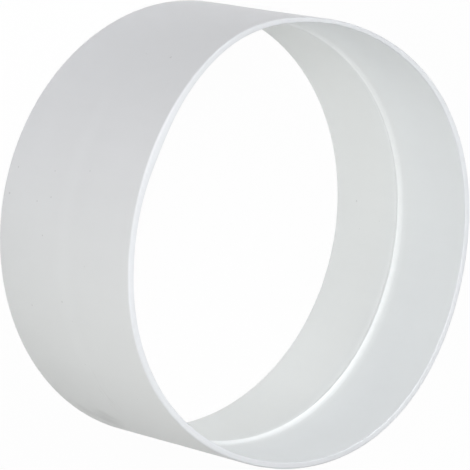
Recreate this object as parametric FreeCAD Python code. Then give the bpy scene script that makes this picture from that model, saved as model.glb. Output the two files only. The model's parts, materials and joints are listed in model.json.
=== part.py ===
import FreeCAD, Part
import math
import os

# Round duct connector, in millimetres.
# A plain plastic sleeve, moulded as one piece, that a round duct pushes into from either end.
# A low rounded stop bead runs round the inside at mid-length.
# The axis is Z, the sleeve stands on its lower rim, and the origin is the centre of that rim.

# Driving dimensions
duct_diameter = 125.0       # outside diameter of the duct that pushes in
duct_clearance = 0.4        # gap between the duct and the socket wall, all round
wall = 1.95                 # thickness of the sleeve's wall
socket_depth = 29.5         # from each rim to the crest of the stop bead
mouth_bevel = 0.35          # bevel at each mouth, which guides the duct in
rim_edge_bevel = 0.45       # bevel that breaks each rim's outer edge
bead_height = 1.0           # stop bead, measured in from the socket wall
bead_crest_radius = 0.4     # rounding of the bead's crest
bead_foot_radius = 2.0      # hollow fillet from each side of the crest down to the socket wall

# Sizes that follow from them
socket_radius = duct_diameter / 2 + duct_clearance
outer_radius = socket_radius + wall
mid_length = socket_depth
length = 2 * socket_depth

# Bevels, each held to the wall that carries it
mouth = min(mouth_bevel, wall / 3)
rim_edge = min(rim_edge_bevel, wall / 3)

# The bead's crest and feet are arcs that pass into each other where the flank is steepest
flank_slope = math.acos(1 - bead_height / (bead_crest_radius + bead_foot_radius))
bead_half = (bead_crest_radius + bead_foot_radius) * math.sin(flank_slope)


def at(radius, height):
    """A point of the section, which lies in the XZ plane."""
    return FreeCAD.Vector(radius, 0, height)


def straight(*points):
    """Straight edges from each point to the next."""
    return [Part.LineSegment(a, b).toShape() for a, b in zip(points, points[1:])]


def arc(start, middle, end):
    """One arc edge through three points."""
    return [Part.Arc(start, middle, end).toShape()]


def on_bead(rise, from_middle):
    """A point of the bead, by its height over the socket wall and its distance above mid-length."""
    return at(socket_radius - rise, mid_length + from_middle)


def wall_edges():
    """The section's outline from the bead's lower foot, out round the whole wall, to its upper foot."""
    return straight(
        on_bead(0, -bead_half),
        at(socket_radius, mouth),
        at(socket_radius + mouth, 0),
        at(outer_radius - rim_edge, 0),
        at(outer_radius, rim_edge),
        at(outer_radius, length - rim_edge),
        at(outer_radius - rim_edge, length),
        at(socket_radius + mouth, length),
        at(socket_radius, length - mouth),
        on_bead(0, bead_half),
    )


def bead_edges():
    """The bead's outline from its upper foot over the crest to its lower foot, as three arcs."""
    foot_rise = bead_foot_radius * (1 - math.cos(flank_slope / 2))
    foot_place = bead_half - bead_foot_radius * math.sin(flank_slope / 2)
    flank_rise = bead_foot_radius * (1 - math.cos(flank_slope))
    flank_place = bead_crest_radius * math.sin(flank_slope)
    upper_flank = on_bead(flank_rise, flank_place)
    lower_flank = on_bead(flank_rise, -flank_place)
    return (
        arc(on_bead(0, bead_half), on_bead(foot_rise, foot_place), upper_flank)
        + arc(upper_flank, on_bead(bead_height, 0), lower_flank)
        + arc(lower_flank, on_bead(foot_rise, -foot_place), on_bead(0, -bead_half))
    )


def sleeve():
    """The whole moulding: its section, turned once about the Z axis."""
    section = Part.Face(Part.Wire(wall_edges() + bead_edges()))
    axis_point = FreeCAD.Vector(0, 0, 0)
    axis_direction = FreeCAD.Vector(0, 0, 1)
    return section.revolve(axis_point, axis_direction, 360)


os.makedirs("parts", exist_ok=True)
sleeve().exportStep("parts/sleeve.step")
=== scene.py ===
import json
import math

import bpy
import numpy as np
from mathutils import Matrix, Vector


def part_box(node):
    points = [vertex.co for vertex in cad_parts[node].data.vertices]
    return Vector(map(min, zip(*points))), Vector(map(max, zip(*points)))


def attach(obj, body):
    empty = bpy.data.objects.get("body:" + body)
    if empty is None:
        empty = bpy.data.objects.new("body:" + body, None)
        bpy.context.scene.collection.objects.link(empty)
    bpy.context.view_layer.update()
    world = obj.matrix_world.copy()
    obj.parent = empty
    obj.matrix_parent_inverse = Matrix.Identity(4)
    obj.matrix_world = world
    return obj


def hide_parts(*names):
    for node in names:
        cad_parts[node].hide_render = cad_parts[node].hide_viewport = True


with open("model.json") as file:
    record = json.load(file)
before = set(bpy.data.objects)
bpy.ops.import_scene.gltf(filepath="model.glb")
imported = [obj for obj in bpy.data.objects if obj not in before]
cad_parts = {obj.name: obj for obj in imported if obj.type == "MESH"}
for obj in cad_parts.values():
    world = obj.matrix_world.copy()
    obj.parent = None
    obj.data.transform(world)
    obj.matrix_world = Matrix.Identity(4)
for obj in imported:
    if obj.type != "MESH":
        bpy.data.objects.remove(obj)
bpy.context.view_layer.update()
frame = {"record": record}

# Round duct connector: one white plastic sleeve, which stands on its lower rim with its axis along Z.
# Lengths are in metres. Bearings are in degrees about Z, from X towards Y.

# The sleeve's sizes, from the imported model
sleeve_low, sleeve_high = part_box("sleeve")
mounts = {mount["name"]: mount for mount in frame["record"]["mounts"]}
upper_socket = mounts["upper_socket"]
outer_radius = min(sleeve_high.x, sleeve_high.y, -sleeve_low.x, -sleeve_low.y)
length = sleeve_high.z - sleeve_low.z
mid_length = sleeve_low.z + length / 2
socket_radius = upper_socket["dims"]["r_mm"] / 1000
socket_run = upper_socket["dims"]["length_mm"] / 1000
socket_start = upper_socket["pos_m"][2] - socket_run / 2
wall = outer_radius - socket_radius

# Stop bead, whose feet are where the sockets start: its crest and feet are arcs that pass into each other
bead_half = socket_start - mid_length
bead_height = 0.001
bead_crest = 0.0004
bead_foot = (bead_half ** 2 + bead_height ** 2) / (2 * bead_height) - bead_crest
bead_flank = bead_half * bead_crest / (bead_crest + bead_foot)

# Roundings of the mouths and of the rims' outer edges
mouth_round = length - (socket_start + socket_run)
rim_edge = 0.00055

# Sink band: the wall shrinks a little where the stop bead backs it
sink_depth = 0.00005
sink_half_width = 0.0032

# The thin upper rim has sprung out of round, by these shares of the outer radius
oval_flex, oval_bearing = 0.0113, 108.0
square_flex, square_bearing = 0.0111, 124.3
rim_drawn_in = 0.004

# Close to that rim the wall is knocked out at one bearing: bearing, half width and depth
knocks = ((117.5, 16.0, 0.00115),)

# There its mouth is also wider at one bearing and narrower at another: bearing, half width and depth
mouth_changes = ((85.0, 30.0, 0.0006), (154.0, 11.0, -0.00075))

# Fineness of the mesh
turns = 320
corner_steps = 7
bead_steps = 49
longest_run = 0.0022
run_slack = 1e-6 * longest_run

# Tones of the plastic, painted as lit and shaded copies of it: in the bore above and below the bead,
# on the outside towards Y and away from it, and on the upper rim. Their differences are painted light
# and shade.
upper_bore_lit_tone = (0.838, 0.861, 0.874, 1)
lower_bore_lit_tone = (0.832, 0.848, 0.845, 1)
cool_lit_outside_tone = (0.783, 0.793, 0.816, 1)
warm_lit_outside_tone = (0.774, 0.792, 0.797, 1)
rim_shaded_tone = (0.788, 0.808, 0.837, 1)

# Shares that are added to the tone or taken from it. Clouds, flow marks, specks and scuffs are the plastic's
# own; the rest are painted light and shade: painted light on the sink band, the bead, under it, the upper
# mouth and the bore's side towards Y, a painted shadow low outside, and painted shade at the bore's foot and
# on the rim's sides
cloud_depth, flow_depth, speck_depth = 0.05, 0.015, 0.18
sink_band_painted_light, scuff_depth, painted_shadow_depth = 0.014, 0.1, 0.15
bead_painted_highlight, under_bead_painted_light = 0.07, 0.09
mouth_painted_light, bore_side_painted_light, bore_foot_painted_shade = 0.058, 0.055, 0.035
rim_side_painted_shade, rim_far_side_painted_shade = 0.1, 0.08

# Where each of these changes starts and where it is full, by the distance from mid-length
band_spread = (1.6 * sink_half_width, 0)
bead_highlight_spread = (2.2 * bead_half, 0.6 * bead_half)
under_bead_top = (-0.2 * bead_crest, 0.5 * bead_crest)
under_bead_foot = (1.5 * bead_half, 0.6 * bead_half)

# The same by the height
upper_bore = (mid_length - 0.2 * length, mid_length + 0.2 * length)
lower_bore = upper_bore[::-1]
mouth_spread = (mid_length + 0.2 * length, 1.1 * length)
rim_spread = (length - rim_edge, length - rim_edge / 4)

# The same along X for the sink band's painted light, and along Y for the others
sink_band_light_side = (-0.7 * outer_radius, -0.9 * outer_radius)
bead_highlight_side = (0.6 * outer_radius, -0.6 * outer_radius)
cool_side = (-0.6 * outer_radius, 0.6 * outer_radius)
bore_side = (0.8 * outer_radius, outer_radius)
bore_far_side = (-0.75 * outer_radius, -outer_radius)
rim_side = (0.5 * outer_radius, outer_radius)
rim_far_side = (-0.8 * outer_radius, -outer_radius)

# Fineness of the clouds, flow marks and grain, in waves per metre, and how the flow marks run along the axis
cloud_waves, flow_waves, grain_waves = 30, 260, 1400
flow_stretch = (1, 1, 0.08)

# The skin: strength and depth of its grain, roughness and how much the clouds add to it, and gloss
grain_strength, grain_depth = 0.05, 0.0001
least_roughness, cloud_roughness = 0.49, 0.12
refraction, gloss_level = 1.5, 0.25

# Dark specks: radius of the face that each lies on, bearing, height and size
specks = (
    (outer_radius, 129.5, 0.0426, 0.00050),
    (outer_radius, 173.5, 0.0029, 0.00045),
    (outer_radius, 166.6, 0.0043, 0.00035),
    (outer_radius, 174.0, 0.0159, 0.00035),
    (outer_radius, 172.3, 0.0218, 0.00035),
    (outer_radius, 182.2, 0.0201, 0.00035),
    (outer_radius, 165.7, 0.0209, 0.00030),
    (outer_radius, 198.3, 0.0276, 0.00040),
    (outer_radius, 201.3, 0.0125, 0.00035),
    (outer_radius, 163.9, 0.0359, 0.00030),
    (socket_radius, 6.1, 0.0093, 0.00045),
)
strewn_speck, speck_spacing = 0.00022, 0.0065

# Scuffs: where their patch lies on the outside, how far it reaches, the width, run and slant of its
# lines, and the noise at which a line starts and is full
scuff_bearing, scuff_height = 227.0, 0.0303
scuff_half_run, scuff_half_height = 0.014, 0.0035
scuff_line, scuff_run, scuff_slant = 0.0006, 0.012, 0.06
scuff_noise = (0.52, 0.68)

# Painted shadow low on the outside: bearing, height, size of its ragged patches, how far the noise moves
# its edge, and the distances at which it starts and is full
painted_shadow_bearing, painted_shadow_height = 242.0, 0.012
painted_shadow_patch, painted_shadow_raggedness = 0.007, 0.024
painted_shadow_spread = (0.0228, 0.0096)

# A speck or a patch is full within this share of its size
full_share = 1 / 3

# Floor: half its side, its gap to the rim, its own grey, and the share of white where it is seen directly
floor_half, floor_gap, floor_grey, floor_white = 6.0, 0.0001, 0.75, 0.97

# Light from all round, and soft boxes: distance and side, then each one's name, bearing, degrees above
# the floor, power and colour
dim_light = 0.02
box_distance, box_side = 0.9, 0.6
soft_boxes = (
    ("right_soft_box", 45, 50, 2.93, (1, 1, 1)),
    ("upper_soft_box", 90, 50, 2.78, (1, 1, 1)),
    ("left_soft_box", 180, 50, 4.53, (1, 1, 1)),
    ("lower_soft_box", 225, 30, 1.93, (1, 0.99, 0.94)),
)

# Camera, fitted to the photograph: how the axis turns and leans, and where the upper rim's centre lies
# from the camera, in outer radii. Lens and sensor are in millimetres.
axis_turn = math.radians(39.74)
axis_lean = math.radians(7.87)
rim_right, rim_down, rim_ahead = 0.3121, 0.0463, 14.999
lens, sensor = 262.07, 36.0
nearest_seen, farthest_seen = 0.01, 30.0


def rounded_corners(corners, radii, steps):
    """A closed outline with an arc at each corner.

    An arc of radius r touches both sides of its corner at r / tan(h) from it, where h is half of the inside
    angle. Its centre lies r / sin(h) along the bisector. The arm from the centre to the first touching point
    swings through 180 degrees less the inside angle.
    """
    back = np.roll(corners, 1, axis=0) - corners
    ahead = np.roll(corners, -1, axis=0) - corners
    back /= np.linalg.norm(back, axis=1, keepdims=True)
    ahead /= np.linalg.norm(ahead, axis=1, keepdims=True)
    half = np.arccos(np.clip(np.sum(back * ahead, axis=1), -1, 1)) / 2
    bisector = back + ahead
    bisector /= np.linalg.norm(bisector, axis=1, keepdims=True)
    centres = corners + bisector * (radii / np.sin(half))[:, None]
    arms = corners + back * (radii / np.tan(half))[:, None] - centres
    turn_side = np.sign(back[:, 1] * ahead[:, 0] - back[:, 0] * ahead[:, 1])
    swing = (turn_side * (np.pi - 2 * half))[:, None] * np.linspace(0, 1, steps)
    across = centres[:, :1] + np.cos(swing) * arms[:, :1] - np.sin(swing) * arms[:, 1:]
    along = centres[:, 1:] + np.sin(swing) * arms[:, :1] + np.cos(swing) * arms[:, 1:]
    return np.stack([across, along], axis=2).reshape(-1, 2)


def divided_runs(outline):
    """The closed outline with each run cut into n shares: its length over the longest run, rounded up.

    Cut k of n lies at (1 - cos(180 k / n)) / 2 of the run, so the cuts close up towards its ends. A run of
    no length falls away.
    """
    ends = np.roll(outline, -1, axis=0)
    lengths = np.linalg.norm(ends - outline, axis=1)
    cuts = np.ceil(np.maximum(lengths - run_slack, 0) / longest_run).astype(int)
    run = np.repeat(np.arange(len(outline)), cuts)
    cut = np.arange(cuts.sum()) - np.repeat(np.cumsum(cuts) - cuts, cuts)
    share = (1 - np.cos(np.pi * cut / cuts[run])) / 2
    return outline[run] + share[:, None] * (ends - outline)[run]


def bead_rise(from_middle):
    """The bead's height over the socket wall, by the distance from mid-length.

    The foot rises as f - sqrt(f ** 2 - (half - d) ** 2) and the crest as height - c + sqrt(c ** 2 - d ** 2),
    where d is the distance, half the bead's half width, and f and c the radii of the foot's and the crest's
    arcs.
    """
    away = np.minimum(np.abs(from_middle), bead_half)
    foot = bead_foot - np.sqrt(np.maximum(bead_foot ** 2 - (bead_half - away) ** 2, 0))
    crest = bead_height - bead_crest + np.sqrt(np.maximum(bead_crest ** 2 - away ** 2, 0))
    return np.where(away > bead_flank, foot, crest)


def sleeve_section():
    """The wall's section as (radius, height), up the outside, over the upper rim and down through the bore.

    The bead's rise comes off the bore. The sink band takes depth * exp(-(distance from mid-length / half
    width) ** 2) off the outside.
    """
    corners = np.array([
        (outer_radius, 0, rim_edge),
        (outer_radius, length, rim_edge),
        (socket_radius, length, mouth_round),
        (socket_radius, 0, mouth_round),
    ])
    outline = rounded_corners(corners[:, :2], corners[:, 2], corner_steps)
    bead = np.stack([
        np.full(bead_steps, socket_radius),
        mid_length + np.linspace(bead_half, -bead_half, bead_steps),
    ], axis=1)
    corners_before_bore = 3
    bore_start = corners_before_bore * corner_steps
    section = divided_runs(np.concatenate([outline[:bore_start], bead, outline[bore_start:]]))
    from_middle = section[:, 1] - mid_length
    outside = section[:, 0] > socket_radius + wall / 2
    sink = sink_depth * np.exp(-(from_middle / sink_half_width) ** 2)
    section[:, 0] -= np.where(outside, sink, bead_rise(from_middle))
    return section


def humps(angle, places):
    """The sum of depth * exp(-((angle - bearing) / half width) ** 2) over all places."""
    bearing = np.degrees(angle)
    return sum(
        depth * np.exp(-((bearing - middle) / half_width) ** 2)
        for middle, half_width, depth in places
    )


def sprung(radius, angle, height):
    """The radius once the wall has sprung out of round.

    At the upper rim it grows by oval * cos(2 (angle - oval bearing)) + square * cos(4 (angle - square
    bearing)) less the drawn-in share, all in outer radii. That fades evenly to nothing at the lower rim. The
    knocks add to it, and so do the changes of the mouth, by the share of the way in from the outside. Both
    fade with the cube of the height.
    """
    bulge = (
        oval_flex * np.cos(2 * (angle - math.radians(oval_bearing)))
        + square_flex * np.cos(4 * (angle - math.radians(square_bearing)))
        - rim_drawn_in
    )
    way_in = np.clip((outer_radius - radius) / wall, 0, 1)
    local = humps(angle, knocks) + humps(angle, mouth_changes) * way_in
    return radius + outer_radius * bulge * height / length + local * (height / length) ** 3


def sleeve_surface(section, count):
    """The section carried round Z: point (r, h) at angle a lies at (s cos a, s sin a, h), s being r sprung.

    Returns the points, the four corners of each face, which points out of the wall, and each point's share
    of the way round the mouth, from 0 on the inside to 1 on the rim and the outside.
    """
    angle = np.linspace(0, 2 * np.pi, count, endpoint=False)[:, None]
    height = np.broadcast_to(section[:, 1], (count, len(section)))
    radius = sprung(section[:, 0], angle, height)
    points = np.stack([radius * np.cos(angle), radius * np.sin(angle), height], axis=2)
    index = np.arange(count * len(section)).reshape(count, len(section))
    next_turn = np.roll(index, -1, axis=0)
    faces = np.stack([
        index,
        next_turn,
        np.roll(next_turn, -1, axis=1),
        np.roll(index, -1, axis=1),
    ], axis=2)
    outer_face = np.tile(np.clip((section[:, 0] - socket_radius) / mouth_round, 0, 1), count)
    return points.reshape(-1, 3), faces.reshape(-1, 4), outer_face


def smooth_mesh(name, points, faces):
    """A mesh object at the origin from arrays of points and four-cornered faces, shaded smooth."""
    mesh = bpy.data.meshes.new(name)
    mesh.vertices.add(len(points))
    mesh.vertices.foreach_set("co", points.astype(np.float32).ravel())
    mesh.loops.add(faces.size)
    mesh.loops.foreach_set("vertex_index", faces.astype(np.int32).ravel())
    mesh.polygons.add(len(faces))
    mesh.polygons.foreach_set("loop_start", np.arange(0, faces.size, 4, dtype=np.int32))
    mesh.polygons.foreach_set("use_smooth", np.ones(len(faces), dtype=bool))
    mesh.update(calc_edges=True)
    piece = bpy.data.objects.new(name, mesh)
    bpy.context.scene.collection.objects.link(piece)
    return piece


def add_node(tree, kind, settings=None, inputs=None):
    """A node of that kind, with its settings made and its inputs given values or linked to other sockets."""
    node = tree.nodes.new(kind)
    for name, value in (settings or {}).items():
        setattr(node, name, value)
    for name, value in (inputs or {}).items():
        if isinstance(value, bpy.types.NodeSocket):
            tree.links.new(value, node.inputs[name])
        else:
            node.inputs[name].default_value = value
    return node


def empty_material(name):
    """A material with nothing in its tree but the output."""
    material = bpy.data.materials.new(name)
    material.use_nodes = True
    material.node_tree.nodes.clear()
    output = add_node(material.node_tree, "ShaderNodeOutputMaterial")
    return material, material.node_tree, output


def soft_step(tree, value, start, full):
    """0 before the start, 1 past where it is full and a smooth step between, whichever of them is lower."""
    return add_node(tree, "ShaderNodeMapRange", {"interpolation_type": "SMOOTHSTEP"}, {
        "Value": value, "From Min": start, "From Max": full,
    }).outputs["Result"]


def combined(tree, operation, *values):
    """The values put together by a Math node."""
    return add_node(tree, "ShaderNodeMath", {"operation": operation}, dict(enumerate(values))).outputs[0]


def overlap(tree, mask, *others):
    """The masks multiplied together, which is 1 only where all of them are."""
    for other in others:
        mask = combined(tree, "MULTIPLY", mask, other)
    return mask


def with_changes(tree, level, changes):
    """The level plus each change, which is a mask times its share."""
    for mask, share in changes:
        level = combined(tree, "MULTIPLY_ADD", mask, share, level)
    return level


def mixed_tone(tree, share, first, second):
    """The first tone where the share is 0, the second where it is 1."""
    mix = add_node(tree, "ShaderNodeMix", {"data_type": "RGBA"}, {"Factor": share})
    for socket, tone in zip([s for s in mix.inputs if s.type == "RGBA"], (first, second)):
        if isinstance(tone, bpy.types.NodeSocket):
            tree.links.new(tone, socket)
        else:
            socket.default_value = tone
    return next(s for s in mix.outputs if s.type == "RGBA")


def noise(tree, place, waves, detail, stretch=(1, 1, 1)):
    """Noise from 0 to 1 of so many waves per metre, drawn out along each axis by one over its stretch."""
    drawn = add_node(tree, "ShaderNodeVectorMath", {"operation": "MULTIPLY"}, {0: place, 1: stretch})
    return add_node(tree, "ShaderNodeTexNoise", None, {
        "Vector": drawn.outputs[0], "Scale": waves, "Detail": detail,
    }).outputs["Fac"]


def distance_from(tree, place, face_radius, bearing, height):
    """The distance from a spot that lies on the face of that radius, at a bearing and a height."""
    angle = math.radians(bearing)
    radius = float(sprung(face_radius, angle, height))
    spot = (radius * math.cos(angle), radius * math.sin(angle), height)
    away = add_node(tree, "ShaderNodeVectorMath", {"operation": "DISTANCE"}, {0: place, 1: spot})
    return away.outputs["Value"]


def speck_mask(tree, place):
    """1 on each dark speck: those that the photograph shows, and very small ones strewn over the rest."""
    cells = add_node(tree, "ShaderNodeTexVoronoi", None, {"Vector": place, "Scale": 1 / speck_spacing})
    reach = strewn_speck / speck_spacing
    mask = soft_step(tree, cells.outputs["Distance"], reach, reach * full_share)
    for face_radius, bearing, height, size in specks:
        away = distance_from(tree, place, face_radius, bearing, height)
        mask = combined(tree, "MAXIMUM", mask, soft_step(tree, away, size, size * full_share))
    return mask


def painted_shadow_mask(tree, place):
    """Up to 1 on the painted shadow, fading with the distance from its middle plus noise, so it is ragged.
    """
    ragged = noise(tree, place, 1 / painted_shadow_patch, detail=4)
    away = distance_from(tree, place, outer_radius, painted_shadow_bearing, painted_shadow_height)
    return soft_step(tree, with_changes(tree, away, [(ragged, painted_shadow_raggedness)]), *painted_shadow_spread)


def scuff_mask(tree, place, axes):
    """1 on the fine scuff lines that run round the outside in one patch beside mid-length.

    The patch fades with the bearing and with the height. Its lines are noise drawn out along the bearing and
    cut off at a threshold. The bearing is taken from the side opposite X, so that its seam is far from the
    patch.
    """
    from_x = combined(tree, "MULTIPLY", axes["X"], -1)
    from_y = combined(tree, "MULTIPLY", axes["Y"], -1)
    turn = combined(tree, "ARCTAN2", from_y, from_x)
    from_patch = combined(tree, "SUBTRACT", turn, math.radians(scuff_bearing - 180))
    along = combined(tree, "MULTIPLY", from_patch, outer_radius)
    above = combined(tree, "SUBTRACT", axes["Z"], scuff_height)
    across = with_changes(tree, above, [(along, scuff_slant)])
    spot = add_node(tree, "ShaderNodeCombineXYZ", None, {"X": along, "Y": across}).outputs["Vector"]
    lines = noise(tree, spot, 1 / scuff_line, detail=1, stretch=(scuff_line / scuff_run, 1, 1))
    along_away = combined(tree, "ABSOLUTE", along)
    across_away = combined(tree, "ABSOLUTE", across)
    return overlap(
        tree,
        soft_step(tree, lines, *scuff_noise),
        soft_step(tree, along_away, scuff_half_run, scuff_half_run * full_share),
        soft_step(tree, across_away, scuff_half_height, scuff_half_height * full_share),
    )


def outside_changes(tree, place, axes, from_middle, outer_face):
    """What changes the tone outside, as masks and shares: sink band painted light, scuffs, a painted shadow.
    """
    away = combined(tree, "ABSOLUTE", from_middle)
    band = overlap(tree, soft_step(tree, away, *band_spread), soft_step(tree, axes["X"], *sink_band_light_side))
    return [
        (overlap(tree, band, outer_face), sink_band_painted_light),
        (overlap(tree, scuff_mask(tree, place, axes), outer_face), -scuff_depth),
        (overlap(tree, painted_shadow_mask(tree, place), outer_face), -painted_shadow_depth),
    ]


def bore_changes(tree, axes, from_middle, inner_face):
    """What changes the tone in the bore, as masks and shares.

    Painted light makes paler the bead, most of all away from Y, its lower flank, the upper mouth, and the
    bore's side towards Y. Painted shade makes the side away from Y duller below the bead.
    """
    away = combined(tree, "ABSOLUTE", from_middle)
    below = combined(tree, "MULTIPLY", from_middle, -1)
    bead = overlap(tree, soft_step(tree, away, *bead_highlight_spread), soft_step(tree, axes["Y"], *bead_highlight_side))
    under_bead = overlap(
        tree,
        soft_step(tree, below, *under_bead_top),
        soft_step(tree, below, *under_bead_foot),
    )
    mouth = soft_step(tree, axes["Z"], *mouth_spread)
    side = soft_step(tree, axes["Y"], *bore_side)
    foot = overlap(tree, soft_step(tree, axes["Y"], *bore_far_side), soft_step(tree, axes["Z"], *lower_bore))
    return [
        (overlap(tree, bead, inner_face), bead_painted_highlight),
        (overlap(tree, under_bead, inner_face), under_bead_painted_light),
        (overlap(tree, mouth, inner_face), mouth_painted_light),
        (overlap(tree, side, inner_face), bore_side_painted_light),
        (overlap(tree, foot, inner_face), -bore_foot_painted_shade),
    ]


def rim_changes(tree, axes, rim):
    """What changes the tone on the upper rim, as masks and shares: painted shade on its two sides along Y.
    """
    return [
        (overlap(tree, soft_step(tree, axes["Y"], *rim_side), rim), -rim_side_painted_shade),
        (overlap(tree, soft_step(tree, axes["Y"], *rim_far_side), rim), -rim_far_side_painted_shade),
    ]


def satin_white_plastic():
    """Moulded white plastic with a satin skin.

    Its tone is painted light and shade, lit and shaded copies of the one plastic: whiter inside than
    outside, a little warmer in the lower bore and on the outside's side away from Y, and the upper rim has
    its own. The tone is then scaled by a level near 1, which soft clouds, flow marks along the axis, specks
    and the changes outside, in the bore and on the rim move up or down; most of those changes are painted
    light and shade.
    """
    material, tree, output = empty_material("satin_white_plastic")
    place = add_node(tree, "ShaderNodeTexCoord").outputs["Object"]
    axes = add_node(tree, "ShaderNodeSeparateXYZ", None, {"Vector": place}).outputs
    outer_face = add_node(tree, "ShaderNodeAttribute", {"attribute_name": "outer_face"}).outputs["Fac"]
    inner_face = combined(tree, "SUBTRACT", 1, outer_face)
    from_middle = combined(tree, "SUBTRACT", axes["Z"], mid_length)
    rim = soft_step(tree, axes["Z"], *rim_spread)
    clouds = noise(tree, place, cloud_waves, detail=3)
    flow_marks = noise(tree, place, flow_waves, detail=2, stretch=flow_stretch)
    level = with_changes(tree, 1 - (cloud_depth + flow_depth) / 2, [
        (clouds, cloud_depth),
        (flow_marks, flow_depth),
        (speck_mask(tree, place), -speck_depth),
        *outside_changes(tree, place, axes, from_middle, outer_face),
        *bore_changes(tree, axes, from_middle, inner_face),
        *rim_changes(tree, axes, rim),
    ])
    bore = mixed_tone(tree, soft_step(tree, axes["Z"], *upper_bore), lower_bore_lit_tone, upper_bore_lit_tone)
    outside = mixed_tone(tree, soft_step(tree, axes["Y"], *cool_side), warm_lit_outside_tone, cool_lit_outside_tone)
    tone = mixed_tone(tree, rim, mixed_tone(tree, outer_face, bore, outside), rim_shaded_tone)
    colour = add_node(tree, "ShaderNodeVectorMath", {"operation": "SCALE"}, {0: tone, "Scale": level})
    grain = noise(tree, place, grain_waves, detail=2)
    skin = add_node(tree, "ShaderNodeBump", None, {
        "Height": grain, "Strength": grain_strength, "Distance": grain_depth,
    })
    shader = add_node(tree, "ShaderNodeBsdfPrincipled", None, {
        "Base Color": colour.outputs["Vector"],
        "Roughness": with_changes(tree, least_roughness, [(clouds, cloud_roughness)]),
        "IOR": refraction,
        "Specular IOR Level": gloss_level,
        "Normal": skin.outputs["Normal"],
    })
    tree.links.new(shader.outputs["BSDF"], output.inputs["Surface"])
    return material


def seen_directly(tree):
    """1 for a ray from the camera, off a glossy surface or through glass, 0 for any other."""
    path = add_node(tree, "ShaderNodeLightPath").outputs
    either = combined(tree, "MAXIMUM", path["Is Camera Ray"], path["Is Glossy Ray"])
    return combined(tree, "MAXIMUM", either, path["Is Transmission Ray"])


def pale_floor():
    """A wide pale floor just under the lower rim, which keeps the shadow and is nearly white elsewhere."""
    level = sleeve_low.z - floor_gap
    corners = floor_half * np.array([(-1, -1, 0), (1, -1, 0), (1, 1, 0), (-1, 1, 0)]) + (0, 0, level)
    floor = smooth_mesh("floor", corners, np.array([[0, 1, 2, 3]]))
    material, tree, output = empty_material("pale_floor")
    lit = add_node(tree, "ShaderNodeBsdfDiffuse", None, {"Color": (floor_grey, floor_grey, floor_grey, 1)})
    white = add_node(tree, "ShaderNodeEmission", None, {"Color": (1, 1, 1, 1), "Strength": 1.0})
    share = combined(tree, "MULTIPLY", seen_directly(tree), floor_white)
    mixed = add_node(tree, "ShaderNodeMixShader", None, {
        0: share, 1: lit.outputs["BSDF"], 2: white.outputs["Emission"],
    })
    tree.links.new(mixed.outputs["Shader"], output.inputs["Surface"])
    floor.data.materials.append(material)


def white_surroundings():
    """A world that is white where it is seen and otherwise a plain dim light from all round."""
    world = bpy.data.worlds.new("surroundings")
    bpy.context.scene.world = world
    world.use_nodes = True
    tree = world.node_tree
    tree.nodes.clear()
    dim = add_node(tree, "ShaderNodeBackground", None, {"Color": (1, 1, 1, 1), "Strength": dim_light})
    white = add_node(tree, "ShaderNodeBackground", None, {"Color": (1, 1, 1, 1), "Strength": 1.0})
    mixed = add_node(tree, "ShaderNodeMixShader", None, {
        0: seen_directly(tree), 1: dim.outputs["Background"], 2: white.outputs["Background"],
    })
    add_node(tree, "ShaderNodeOutputWorld", None, {"Surface": mixed.outputs["Shader"]})


def soft_box(name, bearing, height, power, colour):
    """A square lamp that faces the middle of the sleeve from a bearing and a height above the floor."""
    turn, lift = math.radians(bearing), math.radians(height)
    away = Vector((math.cos(turn) * math.cos(lift), math.sin(turn) * math.cos(lift), math.sin(lift)))
    light = bpy.data.lights.new(name, "AREA")
    light.shape = "SQUARE"
    light.size = box_side
    light.energy = power
    light.color = colour
    lamp = bpy.data.objects.new(name, light)
    lamp.location = Vector((0, 0, mid_length)) + away * box_distance
    lamp.rotation_euler = away.to_track_quat("Z", "Y").to_euler()
    lamp.visible_camera = False
    bpy.context.scene.collection.objects.link(lamp)


def photo_camera():
    """The camera at the photograph's viewing angle.

    Rows of the turning are the object's X, Y and Z axes along the view's right, up and back. The camera lies
    back from the upper rim's centre by that centre's place in the view.
    """
    turn_cos, turn_sin = math.cos(axis_turn), math.sin(axis_turn)
    lean_cos, lean_sin = math.cos(axis_lean), math.sin(axis_lean)
    turning = np.array([
        (turn_cos, 0, -turn_sin),
        (lean_sin * turn_sin, lean_cos, lean_sin * turn_cos),
        (lean_cos * turn_sin, -lean_sin, lean_cos * turn_cos),
    ])
    in_view = outer_radius * np.array([rim_right, -rim_down, -rim_ahead])
    place = np.array([0, 0, sleeve_high.z]) - turning @ in_view
    camera = bpy.data.objects.new("camera", bpy.data.cameras.new("camera"))
    camera.data.sensor_width = sensor
    camera.data.lens = lens
    camera.data.clip_start, camera.data.clip_end = nearest_seen, farthest_seen
    camera.matrix_world = Matrix.Translation(place) @ Matrix(turning.tolist()).to_4x4()
    bpy.context.scene.collection.objects.link(camera)
    bpy.context.scene.camera = camera


bpy.context.scene.view_settings.view_transform = "Standard"

sleeve_points, sleeve_faces, outer_face = sleeve_surface(sleeve_section(), turns)
sleeve = smooth_mesh("duct_connector_sleeve", sleeve_points, sleeve_faces)
outer_face_values = sleeve.data.attributes.new("outer_face", "FLOAT", "POINT").data
outer_face_values.foreach_set("value", outer_face.astype(np.float32))
sleeve.data.materials.append(satin_white_plastic())
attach(sleeve, "root")
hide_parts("sleeve")

photo_camera()
pale_floor()
white_surroundings()
for box in soft_boxes:
    soft_box(*box)
